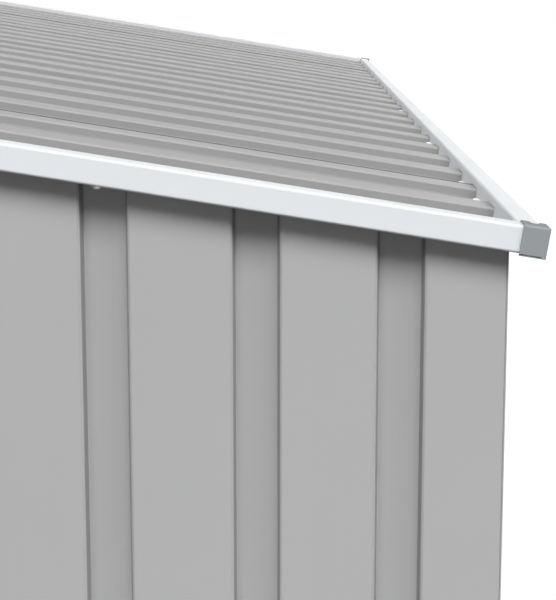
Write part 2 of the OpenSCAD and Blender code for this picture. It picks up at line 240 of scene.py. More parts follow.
def soft_edge_group():
    """Rounded normals at every fold, and a mask of the folds, which the coats paint paler: partly a
    thinner coat, partly a painted highlight.
    """
    inputs = {"Radius": ("NodeSocketFloat", 0.001), "Gain": ("NodeSocketFloat", 1.0)}
    outputs = {"Mask": "NodeSocketFloat", "Normal": "NodeSocketVector"}
    tree, enter, leave = new_tree("Soft Edge", "ShaderNodeTree", inputs, outputs)
    bevel = add(tree, "ShaderNodeBevel", {"Radius": enter.outputs["Radius"]}, samples=6)
    bent = math_node(tree, "SUBTRACT", 1.0, dot(tree, bevel.outputs[0], true_normal(tree)))
    mask = math_node(tree, "MULTIPLY", bent, enter.outputs["Gain"], clamp=True)
    tree.links.new(mask, leave.inputs["Mask"])
    tree.links.new(bevel.outputs[0], leave.inputs["Normal"])
    return tree


LYING = (0.5, 0.95)          # Z of a face's normal, from no dust to all of it
SETTLED = (0.4, 0.75)        # values of the patches, from thin dust to full
THIN_DUST = 0.8              # of the full film, where the dust lies thinnest
RUN_STRETCH = (60, 60, 1.2)  # of the rain's runs, which are long and narrow
WETTED = (0.48, 0.8)         # values of the runs, from no streak to a full one


def weather_group():
    """Faint rain streaks down the upright faces and a dusty film on what faces up, which on the
    trims and caps is heavy enough to be partly painted shade on their tops.
    """
    inputs = {
        "Color": ("NodeSocketColor", (0.5, 0.5, 0.5, 1)),
        "Dust Color": ("NodeSocketColor", (0.4, 0.38, 0.34, 1)),
        "Dust": ("NodeSocketFloat", 0.1),
        "Streaks": ("NodeSocketFloat", 0.03),
    }
    outputs = {"Color": "NodeSocketColor", "Mask": "NodeSocketFloat"}
    tree, enter, leave = new_tree("Weather", "ShaderNodeTree", inputs, outputs)
    given = enter.outputs
    level = ranged(tree, split(tree, true_normal(tree))["Z"], *LYING, smooth=True)
    patches = noise(tree, scale=14.0, detail=5.0, rough=0.6)
    settled = ranged(tree, patches, *SETTLED, smooth=True)
    dust_and_top_shade = product(tree, level, ranged(tree, settled, 0.0, 1.0, THIN_DUST, 1.0), given["Dust"])
    upright = math_node(tree, "SUBTRACT", 1.0, level)
    runs = noise(tree, scale=1.0, stretch=RUN_STRETCH, detail=3.0)
    streak = product(tree, upright, ranged(tree, runs, *WETTED, smooth=True), given["Streaks"])
    mask = math_node(tree, "ADD", dust_and_top_shade, streak, clamp=True)
    color = mixed_color(tree, mask, given["Color"], given["Dust Color"])
    tree.links.new(color, leave.inputs["Color"])
    tree.links.new(mask, leave.inputs["Mask"])
    return tree


# In each pair of limits below, a mask starts to change at the first and has changed at the second.
FACING = (0.9, 0.97)         # cosine between a face's normal and the way that it faces
STEEP = (0.3, 0.4)           # cosine between it and the roof's up, from steep faces to others


def mask_tree(name, **amounts):
    """A group with amounts as its inputs and one mask as its output."""
    inputs = {label.title(): ("NodeSocketFloat", amount) for label, amount in amounts.items()}
    return new_tree(name, "ShaderNodeTree", inputs, {"Mask": "NodeSocketFloat"})


def send_mask(tree, leave, mask, amount=1.0):
    """Puts out a group's mask, scaled by an amount and held within 0 and 1."""
    scaled = math_node(tree, "MULTIPLY", mask, amount, clamp=True)
    tree.links.new(scaled, leave.inputs["Mask"])


SIDE_SLACK = (0.01, 0.03)    # how far a face's turn may be off that of a recess's side


def recess_side_shade_group():
    """A mask of the sloping sides of an upright sheet's recesses, for painted shade on them."""
    tree, enter, leave = mask_tree("Recess Side Shade", amount=0.3)
    slope = RECESS_SIDE / math.hypot(RECESS_SIDE, RECESS_DEPTH)
    facing = split(tree, true_normal(tree))
    along = math_node(tree, "ABSOLUTE", facing["X"])
    across = math_node(tree, "ABSOLUTE", facing["Y"])
    turned = math_node(tree, "MINIMUM", along, across)
    off = math_node(tree, "ABSOLUTE", math_node(tree, "SUBTRACT", turned, slope))
    sides = ranged(tree, off, *SIDE_SLACK, 1.0, 0.0, smooth=True)
    send_mask(tree, leave, sides, enter.outputs["Amount"])
    return tree


RECESS_SHADE_REACH = (0.003, 0.012)  # from a recess's middle to where its painted shade thins and where it ends
SUNK = (0.6 * RECESS_DEPTH, 0.8 * RECESS_DEPTH)      # depth behind the wall's face


def recess_floor_shade_group():
    """A mask of the middles of the recesses' floors, darkened with painted shade."""
    tree, enter, leave = mask_tree("Recess Floor Shade", amount=0.1)
    place = split(tree, object_place(tree))
    facing = split(tree, true_normal(tree))
    masks = []
    walls = (("X", "Y", HALF_WIDTH, HALF_DEPTH), ("Y", "X", HALF_DEPTH, HALF_WIDTH))
    for out, along, wall, half in walls:
        first, second = recess_middles(2 * half)[:2]
        pair = (first + second) / 2 - half
        from_pair = around_zero(tree, math_node(tree, "SUBTRACT", place[along], pair), PAIR_PITCH)
        beside = math_node(tree, "ABSOLUTE", from_pair)
        off = math_node(tree, "ABSOLUTE", math_node(tree, "SUBTRACT", beside, (second - first) / 2))
        middle = ranged(tree, off, *RECESS_SHADE_REACH, 1.0, 0.0, smooth=True)
        depth = math_node(tree, "SUBTRACT", wall, math_node(tree, "ABSOLUTE", place[out]))
        sunk = ranged(tree, depth, *SUNK)
        faced = ranged(tree, math_node(tree, "ABSOLUTE", facing[out]), *FACING)
        masks.append(product(tree, middle, sunk, faced))
    send_mask(tree, leave, math_node(tree, "MAXIMUM", *masks), enter.outputs["Amount"])
    return tree


CREST_BAND = (0.75 * CREST, 0.85 * CREST)      # height over the roof frame
OFF_SIDE = (0.18, 0.25)      # cosine between a normal and the roof's up, where a rib's side ends
OFF_TOP = (0.98, 0.995)      # and where its top starts


def crest_highlight_group():
    """A mask of the folds along the crests of the roof's ribs, lightened with a painted highlight.
    """
    tree, enter, leave = mask_tree("Crest Highlight", amount=0.5)
    from_frame = add(tree, "ShaderNodeVectorMath", {0: object_place(tree), 1: roof_point(0, 0, 0)},
                     operation="SUBTRACT")
    height = dot(tree, from_frame.outputs[0], ROOF_UP)
    high = ranged(tree, height, *CREST_BAND)
    up = dot(tree, true_normal(tree), ROOF_UP)
    off_side = ranged(tree, up, *OFF_SIDE)
    off_top = ranged(tree, up, *OFF_TOP, 1.0, 0.0)
    send_mask(tree, leave, product(tree, high, off_side, off_top), enter.outputs["Amount"])
    return tree


FIRST_LAP = 1                # rib whose top carries the first side lap, counted from 0
LAP_WIDTH = 0.007            # of the painted shadow along a lap
LAP_FOOT = 0.012             # of the painted shade in the valley, at the foot of the next rib
LAP_FACE = 0.003             # of the painted shade on the next rib's side
LAP_BEND = 0.001             # by which the painted shadow and the painted shade on a side reach round the bend
NEAR_LAP = 1.9               # how much darker the line of the first lap is than the others
NEAR_END = (0.5 * HALF_WIDTH, 0.75 * HALF_WIDTH)      # X, towards the first lap
FAR_END = (-HALF_WIDTH, -0.25 * HALF_WIDTH)      # X, where the marks on the sides fade out


def lap_shade_group():
    """A mask of painted shade at the roof's side laps: a shadow line at one rib's far edge, then
    the next one's foot.

    Towards the left end the next rib's side is shaded too.
    """
    tree, enter, leave = mask_tree("Lap Shade", line=0.4, face=0.4)
    along = split(tree, object_place(tree))["X"]
    edge = HALF_WIDTH - VERGE_INSET - FIRST_RIB - FIRST_LAP * RIB_PITCH - RIB_TOP
    from_edge = math_node(tree, "SUBTRACT", along, edge)
    offset = around_zero(tree, from_edge, RIBS_A_SHEET * RIB_PITCH)
    next_rib = RIB_TOP - RIB_PITCH
    up = dot(tree, true_normal(tree), ROOF_UP)
    level = ranged(tree, up, *FACING)
    steep = ranged(tree, math_node(tree, "ABSOLUTE", up), *STEEP, 1.0, 0.0)
    darker = ranged(tree, along, *NEAR_END, 1.0, NEAR_LAP)
    line = product(tree, between(tree, offset, -LAP_BEND, LAP_WIDTH), darker)
    foot = product(tree, between(tree, offset, next_rib + RIB_SIDE, next_rib + LAP_FOOT), level)
    far = ranged(tree, along, *FAR_END, 1.0, 0.0)
    beside = between(tree, offset, next_rib - LAP_BEND, next_rib + LAP_FACE)
    lines = product(tree, math_node(tree, "ADD", line, foot), enter.outputs["Line"])
    faces = product(tree, beside, steep, far, enter.outputs["Face"])
    send_mask(tree, leave, math_node(tree, "ADD", lines, faces))
    return tree


INWARD = (-0.9 * HALF_WIDTH, -0.8 * HALF_WIDTH)      # a face's X times its normal's X


def inner_leg_shade_group():
    """A mask of the verge trims' inner legs, darkened with painted shade."""
    tree, enter, leave = mask_tree("Inner Leg Shade", amount=0.2)
    along = split(tree, object_place(tree))["X"]
    facing = split(tree, true_normal(tree))["X"]
    inner = ranged(tree, product(tree, along, facing), *INWARD, 1.0, 0.0)
    send_mask(tree, leave, inner, enter.outputs["Amount"])
    return tree


SPANGLE_GLOSS = 0.07         # how far the crystals' roughness varies, up and down
SPANGLE_WOBBLE = 0.006       # how far their outlines are bent


def zinc_spangle_group():
    """The crystal flowers of hot-dip zinc: patches of unlike grey and gloss."""
    inputs = {
        "Color": ("NodeSocketColor", (0.6, 0.62, 0.64, 1)),
        "Size": ("NodeSocketFloat", 0.012),
        "Contrast": ("NodeSocketFloat", 0.12),
        "Roughness": ("NodeSocketFloat", 0.4),
    }
    outputs = {
        "Color": "NodeSocketColor", "Roughness": "NodeSocketFloat", "Height": "NodeSocketFloat"}
    tree, enter, leave = new_tree("Zinc Spangle", "ShaderNodeTree", inputs, outputs)
    given = enter.outputs
    place = object_place(tree)
    wobble = add(tree, "ShaderNodeTexNoise", {"Vector": place, "Scale": 90.0}).outputs["Color"]
    shift = scaled(tree, wobble, SPANGLE_WOBBLE)
    bent = add(tree, "ShaderNodeVectorMath", {0: place, 1: shift}, operation="ADD")
    scale = math_node(tree, "DIVIDE", 1.0, given["Size"])
    cells = add(tree, "ShaderNodeTexVoronoi", {"Vector": bent.outputs[0], "Scale": scale})
    patch = add(tree, "ShaderNodeSeparateColor", {0: cells.outputs["Color"]}).outputs[0]
    low = math_node(tree, "SUBTRACT", 1.0, given["Contrast"])
    high = math_node(tree, "ADD", 1.0, given["Contrast"])
    tone = ranged(tree, patch, 0.0, 1.0, low, high)
    tree.links.new(scaled(tree, given["Color"], tone), leave.inputs["Color"])
    spread = ranged(tree, patch, 0.0, 1.0, -SPANGLE_GLOSS, SPANGLE_GLOSS)
    gloss = math_node(tree, "ADD", given["Roughness"], spread, clamp=True)
    tree.links.new(gloss, leave.inputs["Roughness"])
    tree.links.new(noise(tree, scale=500.0, detail=3.0), leave.inputs["Height"])
    return tree


COAT_FILM = coat_film_group()
SOFT_EDGE = soft_edge_group()
WEATHER = weather_group()
RECESS_SIDE_SHADE = recess_side_shade_group()
RECESS_FLOOR_SHADE = recess_floor_shade_group()
CREST_HIGHLIGHT = crest_highlight_group()
LAP_SHADE = lap_shade_group()
INNER_LEG_SHADE = inner_leg_shade_group()
ZINC_SPANGLE = zinc_spangle_group()


# ---- Finishes --------------------------------------------------------------------------------


def new_finish(name):
    material = bpy.data.materials.new(name)
    material.use_nodes = True
    tree = material.node_tree
    return material, tree, tree.nodes["Principled BSDF"]


def use(tree, group, into):
    """A shader group's outputs, with its inputs set or linked."""
    return add(tree, "ShaderNodeGroup", into, node_tree=group).outputs


def bumped(tree, height, normal, depth):
    inputs = {"Height": height, "Normal": normal, "Strength": 1.0, "Distance": depth}
    return add(tree, "ShaderNodeBump", inputs).outputs[0]


DUST_ROUGH = 0.5             # roughness that full dust adds
COAT_ROUGH = 0.15            # roughness of a clear coat
FOLD_PALENESS = 1.25             # how much paler a coat is painted at its folds: partly a thinner coat, partly a painted highlight


def paler(color):
    return tuple(min(1.0, FOLD_PALENESS * part) for part in color)


def coated(name, color, roughness, mottle, peel_scale, peel_depth, edge_radius, edge_light=0.0,
           dust_and_top_shade=0.0, streaks=0.0, dust_and_shade_color=(0.40, 0.39, 0.36), marks=(), specular=0.5, coat=0.0):
    """A painted or moulded finish: its film, soft edges and weathering, and marks of painted shade
    and painted highlight.

    Each mark is a shader group, the amounts that it's given and the colour that it brings.
    """
    material, tree, shader = new_finish(name)
    film = use(tree, COAT_FILM, {
        "Color": (*color, 1), "Mottle": mottle, "Roughness": roughness, "Peel Scale": peel_scale})
    # A dusty film on what faces up; where it is heavy, on the trims and caps, it is partly painted
    # shade on their tops.
    weather = use(tree, WEATHER, {
        "Color": film["Color"], "Dust Color": (*dust_and_shade_color, 1), "Dust": dust_and_top_shade, "Streaks": streaks})
    edge = use(tree, SOFT_EDGE, {"Radius": edge_radius, "Gain": 2.5})
    # Folds are painted paler: partly a thinner coat, partly a painted highlight.
    pale_fold = math_node(tree, "MULTIPLY", edge["Mask"], edge_light)
    wear_and_painted_light = mixed_color(tree, pale_fold, weather["Color"], (*paler(color), 1))
    for group, amounts, mark_color in marks:
        mark = use(tree, group, amounts)
        wear_and_painted_light = mixed_color(tree, mark["Mask"], wear_and_painted_light, (*mark_color, 1))
    duller = math_node(tree, "MULTIPLY", weather["Mask"], DUST_ROUGH)
    gloss = math_node(tree, "ADD", film["Roughness"], duller, clamp=True)
    tree.links.new(wear_and_painted_light, shader.inputs["Base Color"])
    tree.links.new(gloss, shader.inputs["Roughness"])
    normal = bumped(tree, film["Height"], edge["Normal"], peel_depth)
    tree.links.new(normal, shader.inputs["Normal"])
    shader.inputs["Specular IOR Level"].default_value = specular
    shader.inputs["Coat Weight"].default_value = coat
    shader.inputs["Coat Roughness"].default_value = COAT_ROUGH
    return material


ZINC_BLOOM = (0.62, 0.62, 0.60)
SPANGLE_DEPTH = 0.00004
CLEAN_METAL = 0.85           # how metallic the bare zinc is
DULL_METAL = 0.3             # and where the bloom covers it


def galvanised(name, color, size, contrast, roughness, edge_radius):
    """Bare zinc on steel, with spangle, a thin white bloom and soft edges."""
    material, tree, shader = new_finish(name)
    spangle = use(tree, ZINC_SPANGLE, {
        "Color": (*color, 1), "Size": size, "Contrast": contrast, "Roughness": roughness})
    weather = use(tree, WEATHER, {
        "Color": spangle["Color"], "Dust Color": (*ZINC_BLOOM, 1), "Dust": 0.25, "Streaks": 0.15})
    edge = use(tree, SOFT_EDGE, {"Radius": edge_radius, "Gain": 2.0})
    tree.links.new(weather["Color"], shader.inputs["Base Color"])
    tree.links.new(spangle["Roughness"], shader.inputs["Roughness"])
    metal = ranged(tree, weather["Mask"], 0.0, 1.0, CLEAN_METAL, DULL_METAL)
    tree.links.new(metal, shader.inputs["Metallic"])
    normal = bumped(tree, spangle["Height"], edge["Normal"], SPANGLE_DEPTH)
    tree.links.new(normal, shader.inputs["Normal"])
    return material


# Black for the painted shade in the coats' marks.
SHADE_BLACK = (0.0, 0.0, 0.0)
# A brownish tint for the painted shade on the verge trims' inner legs.
LEG_SHADE_TINT = (0.30, 0.27, 0.25)
WALL_GREY = (0.425, 0.427, 0.427)
# The roof's grey is a darker copy of the walls' grey: painted shade on the roof sheets.
ROOF_SHADED_GREY = (0.265, 0.266, 0.266)

# The wall coat's marks are painted shade: on the recesses' sloping sides and, faintly, in the
# middles of their floors.
WALL_COAT = coated(
    "wall_coat", WALL_GREY, roughness=0.50, mottle=0.012, peel_scale=700.0, peel_depth=0.00002,
    edge_radius=0.0005, edge_light=0.25, dust_and_top_shade=0.05, streaks=0.04,
    marks=((RECESS_SIDE_SHADE, {"Amount": 0.42}, SHADE_BLACK), (RECESS_FLOOR_SHADE, {"Amount": 0.087}, SHADE_BLACK)))
# The roof coat's marks are a painted highlight along the ribs' crests and painted shade along the
# side laps.
ROOF_SHADED_COAT = coated(
    "roof_coat_shaded", ROOF_SHADED_GREY, roughness=0.50, mottle=0.015, peel_scale=700.0, peel_depth=0.00002,
    edge_radius=0.0004, edge_light=0.5, dust_and_top_shade=0.06, streaks=0.02, specular=0.2,
    marks=((CREST_HIGHLIGHT, {"Amount": 0.95}, paler(ROOF_SHADED_GREY)),
           (LAP_SHADE, {"Line": 0.5, "Face": 0.5}, SHADE_BLACK)))
FRAME_COAT = coated(
    "frame_coat", (0.42, 0.422, 0.422), roughness=0.46, mottle=0.012, peel_scale=800.0,
    peel_depth=0.00002, edge_radius=0.001, edge_light=0.25, dust_and_top_shade=0.05, streaks=0.04)
# The trims' heavy grey dusting is partly a dusty film and partly painted shade that keeps their
# tops from glaring; their inner legs get painted shade.
TRIM_COAT = coated(
    "trim_coat", (0.780, 0.810, 0.836), roughness=0.55, mottle=0.006, peel_scale=800.0,
    peel_depth=0.00001, edge_radius=0.0011, edge_light=0.3, dust_and_top_shade=0.69, streaks=0.02,
    dust_and_shade_color=(0.51, 0.525, 0.525), specular=0.1, marks=((INNER_LEG_SHADE, {"Amount": 0.3}, LEG_SHADE_TINT),))
# The caps' dark dusting is partly a dusty film and partly painted shade on their tops.
CAP_PLASTIC = coated(
    "cap_plastic", (0.312, 0.331, 0.344), roughness=0.6, mottle=0.01, peel_scale=1500.0,
    peel_depth=0.00003, edge_radius=0.0006, dust_and_top_shade=0.7, streaks=0.02,
    dust_and_shade_color=(0.15, 0.155, 0.155), specular=0.08)
SCREW_CAP_PLASTIC = coated(
    "screw_cap_plastic", (0.84, 0.86, 0.87), roughness=0.28, mottle=0.01, peel_scale=900.0,
    peel_depth=0.00001, edge_radius=0.0005, coat=0.3)
ZINC = galvanised("zinc", (0.60, 0.62, 0.64), size=0.012, contrast=0.10, roughness=0.42,
                  edge_radius=0.001)
SCREW_ZINC = galvanised("screw_zinc_plate", (0.50, 0.51, 0.52), size=0.003, contrast=0.05,
                        roughness=0.35, edge_radius=0.0004)

FINISHES = {
    "zinc_frame": ZINC,
    "grey_frame": FRAME_COAT,
    "grey_sheet": WALL_COAT,
    "white_trim": TRIM_COAT,
    "grey_cap": CAP_PLASTIC,
}


def finish_frame():
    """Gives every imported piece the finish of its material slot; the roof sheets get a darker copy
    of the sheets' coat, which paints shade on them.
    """
    slots = {part["node"]: part["material_slot"] for part in frame["record"]["subparts"]}
    for name, piece in frame["nodes"].items():
        finish = ROOF_SHADED_COAT if name.startswith("roof_sheet") else FINISHES[slots[name]]
        piece.data.materials.clear()
        piece.data.materials.append(finish)


finish_frame()


# ---- Screws ------------------------------------------------------------------------------------

HEAD_SIDES = 20
HEAD_RINGS = 5
WASHER_SIDES = 24
WELD = 0.00001               # points nearer than this become one
CREASE = 0.7                 # radians, from which an edge of a head stays sharp
CROSS_REACH = 1.1            # of the cross's bars, to the head's radius


def dome(tree, radius, height, squareness):
    """A round head: an upright tube whose rings are drawn in along a rounded profile."""
    tube = add(tree, "GeometryNodeMeshCylinder", {
        "Vertices": HEAD_SIDES, "Side Segments": HEAD_RINGS, "Radius": 1.0,
        "Depth": 1.0}).outputs["Mesh"]
    parts = split(tree, add(tree, "GeometryNodeInputPosition").outputs[0])
    turn = math_node(tree, "MULTIPLY", math_node(tree, "ADD", parts["Z"], 0.5), math.pi / 2)
    power = math_node(tree, "DIVIDE", 2.0, squareness)
    inward = math_node(tree, "POWER", math_node(tree, "COSINE", turn, clamp=True), power)
    upward = math_node(tree, "POWER", math_node(tree, "SINE", turn, clamp=True), power)
    width = math_node(tree, "MULTIPLY", inward, radius)
    shaped = add(tree, "ShaderNodeCombineXYZ", {
        "X": math_node(tree, "MULTIPLY", parts["X"], width),
        "Y": math_node(tree, "MULTIPLY", parts["Y"], width),
        "Z": math_node(tree, "MULTIPLY", upward, height)}).outputs[0]
    moved = add(tree, "GeometryNodeSetPosition", {"Geometry": tube, "Position": shaped})
    merged = add(tree, "GeometryNodeMergeByDistance", {
        "Geometry": moved.outputs[0], "Distance": WELD})
    return merged.outputs[0]


def cross_cut(tree, head, radius, height, width):
    """The head with a cross sunk into its top for the driver."""
    length = math_node(tree, "MULTIPLY", radius, CROSS_REACH)
    bars = []
    for sizes in ((length, width), (width, length)):
        size = add(tree, "ShaderNodeCombineXYZ", {"X": sizes[0], "Y": sizes[1], "Z": height})
        bar = add(tree, "GeometryNodeMeshCube", {"Size": size.outputs[0]}).outputs["Mesh"]
        lift = add(tree, "ShaderNodeCombineXYZ", {"Z": height}).outputs[0]
        bars.append(add(tree, "GeometryNodeTransform", {
            "Geometry": bar, "Translation": lift}).outputs[0])
    cut = add(tree, "GeometryNodeMeshBoolean", {"Mesh 1": head},
              operation="DIFFERENCE", solver="EXACT")
    for bar in bars:
        tree.links.new(bar, cut.inputs["Mesh 2"])
    return cut.outputs["Mesh"]


def screw_tree():
    """A screw head with its washer on every point, standing along the point's facing."""
    inputs = {
        "Geometry": ("NodeSocketGeometry", None),
        "Head Radius": ("NodeSocketFloat", 0.0044),
        "Head Height": ("NodeSocketFloat", 0.003),
        "Squareness": ("NodeSocketFloat", 2.0),
        "Cross": ("NodeSocketBool", True),
        "Cross Width": ("NodeSocketFloat", 0.0011),
        "Washer Radius": ("NodeSocketFloat", 0.005),
        "Washer Height": ("NodeSocketFloat", 0.0006),
        "Seed": ("NodeSocketInt", 7),
        "Material": ("NodeSocketMaterial", None),
    }
    tree, enter, leave = new_tree("Screws", "GeometryNodeTree", inputs,
                                  {"Geometry": "NodeSocketGeometry"})
    given = enter.outputs
    plain = dome(tree, given["Head Radius"], given["Head Height"], given["Squareness"])
    cut = cross_cut(tree, plain, given["Head Radius"], given["Head Height"], given["Cross Width"])
    head = add(tree, "GeometryNodeSwitch", {
        "Switch": given["Cross"], "False": plain, "True": cut}, input_type="GEOMETRY").outputs[0]
    lift = add(tree, "ShaderNodeCombineXYZ", {"Z": given["Washer Height"]}).outputs[0]
    head = add(tree, "GeometryNodeTransform", {"Geometry": head, "Translation": lift}).outputs[0]
    washer = add(tree, "GeometryNodeMeshCylinder", {
        "Vertices": WASHER_SIDES, "Radius": given["Washer Radius"],
        "Depth": given["Washer Height"]})
    half = math_node(tree, "MULTIPLY", given["Washer Height"], 0.5)
    half_lift = add(tree, "ShaderNodeCombineXYZ", {"Z": half}).outputs[0]
    ring = add(tree, "GeometryNodeTransform", {
        "Geometry": washer.outputs["Mesh"], "Translation": half_lift}).outputs[0]
    both = add(tree, "GeometryNodeJoinGeometry")
    for part in (head, ring):
        tree.links.new(part, both.inputs[0])
    smooth = add(tree, "GeometryNodeSetShadeSmooth", {
        "Geometry": both.outputs[0], "Shade Smooth": True}, domain="FACE").outputs[0]
    angle = add(tree, "GeometryNodeInputMeshEdgeAngle").outputs["Unsigned Angle"]
    gentle = add(tree, "FunctionNodeCompare", {0: angle, 1: CREASE},
                 operation="LESS_THAN").outputs[0]
    creased = add(tree, "GeometryNodeSetShadeSmooth", {
        "Geometry": smooth, "Shade Smooth": gentle}, domain="EDGE").outputs[0]
    facing = add(tree, "GeometryNodeInputNamedAttribute", {"Name": "facing"},
                 data_type="FLOAT_VECTOR")
    stand = add(tree, "FunctionNodeAlignRotationToVector", {"Vector": facing.outputs[0]}, axis="Z")
    turn = add(tree, "FunctionNodeRandomValue", {
        "Min": 0.0, "Max": 2 * math.pi, "Seed": given["Seed"]}, data_type="FLOAT").outputs["Value"]
    spin = add(tree, "FunctionNodeAxisAngleToRotation", {"Axis": (0, 0, 1), "Angle": turn})
    rotation = add(tree, "FunctionNodeRotateRotation", {
        "Rotation": stand.outputs[0], "Rotate By": spin.outputs[0]}, rotation_space="LOCAL")
    copies = add(tree, "GeometryNodeInstanceOnPoints", {
        "Points": given["Geometry"], "Instance": creased, "Rotation": rotation.outputs[0]})
    real = add(tree, "GeometryNodeRealizeInstances", {"Geometry": copies.outputs[0]})
    done = add(tree, "GeometryNodeSetMaterial", {
        "Geometry": real.outputs[0], "Material": given["Material"]})
    tree.links.new(done.outputs[0], leave.inputs[0])
    return tree


SCREWS = screw_tree()


def screws(name, places, finish, slot, **sizes):
    """One mesh of screw heads. Each place is a point and the way that the head faces."""
    mesh = bpy.data.meshes.new(name)
    mesh.from_pydata([point for point, _ in places], [], [])
    facing = mesh.attributes.new("facing", "FLOAT_VECTOR", "POINT")
    facing.data.foreach_set("vector", [part for _, way in places for part in way])
    piece = bpy.data.objects.new(name, mesh)
    bpy.context.scene.collection.objects.link(piece)
    modifier = piece.modifiers.new("screws", "NODES")
    modifier.node_group = SCREWS
    values = {key.replace("_", " ").title(): value for key, value in sizes.items()}
    values["Material"] = finish
    for item in SCREWS.interface.items_tree:
        if item.in_out == "INPUT" and item.name in values:
            modifier[item.identifier] = values[item.name]
    graph = bpy.context.evaluated_depsgraph_get()
    solid = bpy.data.meshes.new_from_object(piece.evaluated_get(graph))
    piece.modifiers.clear()
    piece.data = solid
    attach(piece, "root")


PAN_HEAD = {"head_radius": 0.0036, "head_height": 0.0023, "squareness": 2.6, "cross": True,
            "washer_radius": 0.0041, "washer_height": 0.0005}
LOW_CAP = {"head_radius": 0.0040, "head_height": 0.0041, "squareness": 3.4, "cross": False,
           "washer_radius": 0.0042, "washer_height": 0.0010}
LAP_CAP = {**LOW_CAP, "head_height": 0.0058}       # taller, over the laps of the roof sheets

TOP_SCREW_DROP = 0.0052      # of the end walls' upper screws below the roof frame's top
TOP_SCREWED = (2, 5)         # recesses of an end wall that carry an upper screw
REAR_SCREW_DROP = 0.030      # of the rear wall's upper screws below the roof frame's top
OFF_MIDDLE = 0.0055          # of the end walls' screws from the recesses' middles, to the front


def rail_middle(node):
    """Height of the middle of a rail."""
    low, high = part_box(node)
    return (low.z + high.z) / 2


def end_wall_screws(side):
    """Screws through the recesses of an end wall into the rails behind it."""
    middles = [y - HALF_DEPTH - OFF_MIDDLE for y in recess_middles(2 * HALF_DEPTH)]
    heights = (rail_middle("base_rail_right"), rail_middle("mid_rail_right"))
    face = Vector((side, 0, 0))
    places = [(Vector((side * RECESS_FLOOR, y, z)), face) for y in middles for z in heights]
    places += [(Vector((side * RECESS_FLOOR, y, roof_height(y) - TOP_SCREW_DROP)), face)
               for y in (middles[recess] for recess in TOP_SCREWED)]
    return places


def rear_wall_screws():
    """Screws through the recesses of the rear wall into its rails."""
    middles = [x - HALF_WIDTH for x in recess_middles(2 * HALF_WIDTH)]
    floor_y = HALF_DEPTH - RECESS_DEPTH
    top = roof_height(HALF_DEPTH) - REAR_SCREW_DROP
    heights = (rail_middle("base_rail_rear"), rail_middle("mid_rail_rear_right"), top)
    return [(Vector((x, floor_y, z)), Vector((0, 1, 0))) for x in middles[::2] for z in heights]


CAP_FROM_TRIM = 0.0044       # from the eave trim's inner leg to a cap's middle


def capped_ribs():
    """Numbers of the ribs with a cap in the valley after them: the low caps and the lap caps."""
    room = 2 * (HALF_WIDTH - VERGE_INSET) - FIRST_RIB - RIB_TOP - LAST_FLAT
    valleys = math.floor(room / RIB_PITCH)
    return (0, 1), range(RIBS_A_SHEET, valleys, RIBS_A_SHEET)


def roof_caps(down, ribs):
    """White caps beside an eave trim, in the middle of the valley after each of the ribs."""
    first = HALF_WIDTH - VERGE_INSET - FIRST_RIB - RIB_TOP / 2
    across = [first - (rib + 0.5) * RIB_PITCH for rib in ribs]
    return [(roof_point(x, down, SEAT + SHEET), ROOF_UP) for x in across]


SLAT_END = 0.012             # from a slat's inner end to the middle of its screws


def slat_screws(side):
    """Screws that hold the floor slats to the rail and the bearers under them."""
    low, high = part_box("floor_slats_right")
    step = (high.y - low.y - SLAT_WIDTH) / (SLATS - 1)
    rails = [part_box(node) for node in ("base_rail_right", "bearer_right")]
    across = [(rail_low.x + rail_high.x) / 2 for rail_low, rail_high in rails]
    across.append(low.x + SLAT_END)
    places = []
    for i in range(SLATS):
        y = low.y + SLAT_WIDTH / 2 + i * step
        places += [(Vector((side * x, y, high.z)), Vector((0, 0, 1))) for x in across]
    return places


def post_screws():
    """Screws in the front posts, at the header and at the base rail."""
    places = []
    heights = (rail_middle("base_rail_front"), rail_middle("header"))
    for node in ("front_post_left", "front_post_right"):
        low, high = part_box(node)
        x = (low.x + high.x) / 2
        places += [(Vector((x, low.y, z)), Vector((0, -1, 0))) for z in heights]
    return places


def zinc_screws(name, places, seed):
    screws(name, places, SCREW_ZINC, "screw_zinc", seed=seed, **PAN_HEAD)


def white_caps(name, places, seed, head):
    screws(name, places, SCREW_CAP_PLASTIC, "white_cap", seed=seed, **head)


for side, name in ((1, "right"), (-1, "left")):
    zinc_screws("wall_screws_" + name, end_wall_screws(side), seed=3)
    zinc_screws("slat_screws_" + name, slat_screws(side), seed=5)
zinc_screws("wall_screws_rear", rear_wall_screws(), seed=11)
zinc_screws("post_screws", post_screws(), seed=13)
LOW_RIBS, LAP_RIBS = capped_ribs()
for down, name in ((SLOPE_LENGTH + EAVE_OUT - CAP_FROM_TRIM, "rear"),
                   (-EAVE_OUT + CAP_FROM_TRIM, "front")):
    white_caps("roof_caps_" + name, roof_caps(down, LOW_RIBS), seed=17, head=LOW_CAP)
    white_caps("lap_caps_" + name, roof_caps(down, LAP_RIBS), seed=19, head=LAP_CAP)


# ---- Floor, backdrop and lamps -------------------------------------------------------------------

FLOOR_SIZE = 120.0
FLOOR_GLOW = 0.67            # what the floor shows of itself
FLOOR_SHADE = 0.36           # what it shows of the light on it, with the shadows
FLOOR_BOUNCE = 0.12          # how pale the floor is to the light that it throws back


def seen_directly(tree):
    """1 for rays that show a surface as it is: from the camera, in gloss and through glass."""
    rays = add(tree, "ShaderNodeLightPath").outputs
    first = math_node(tree, "MAXIMUM", rays["Is Camera Ray"], rays["Is Glossy Ray"])
    return math_node(tree, "MAXIMUM", first, rays["Is Transmission Ray"])


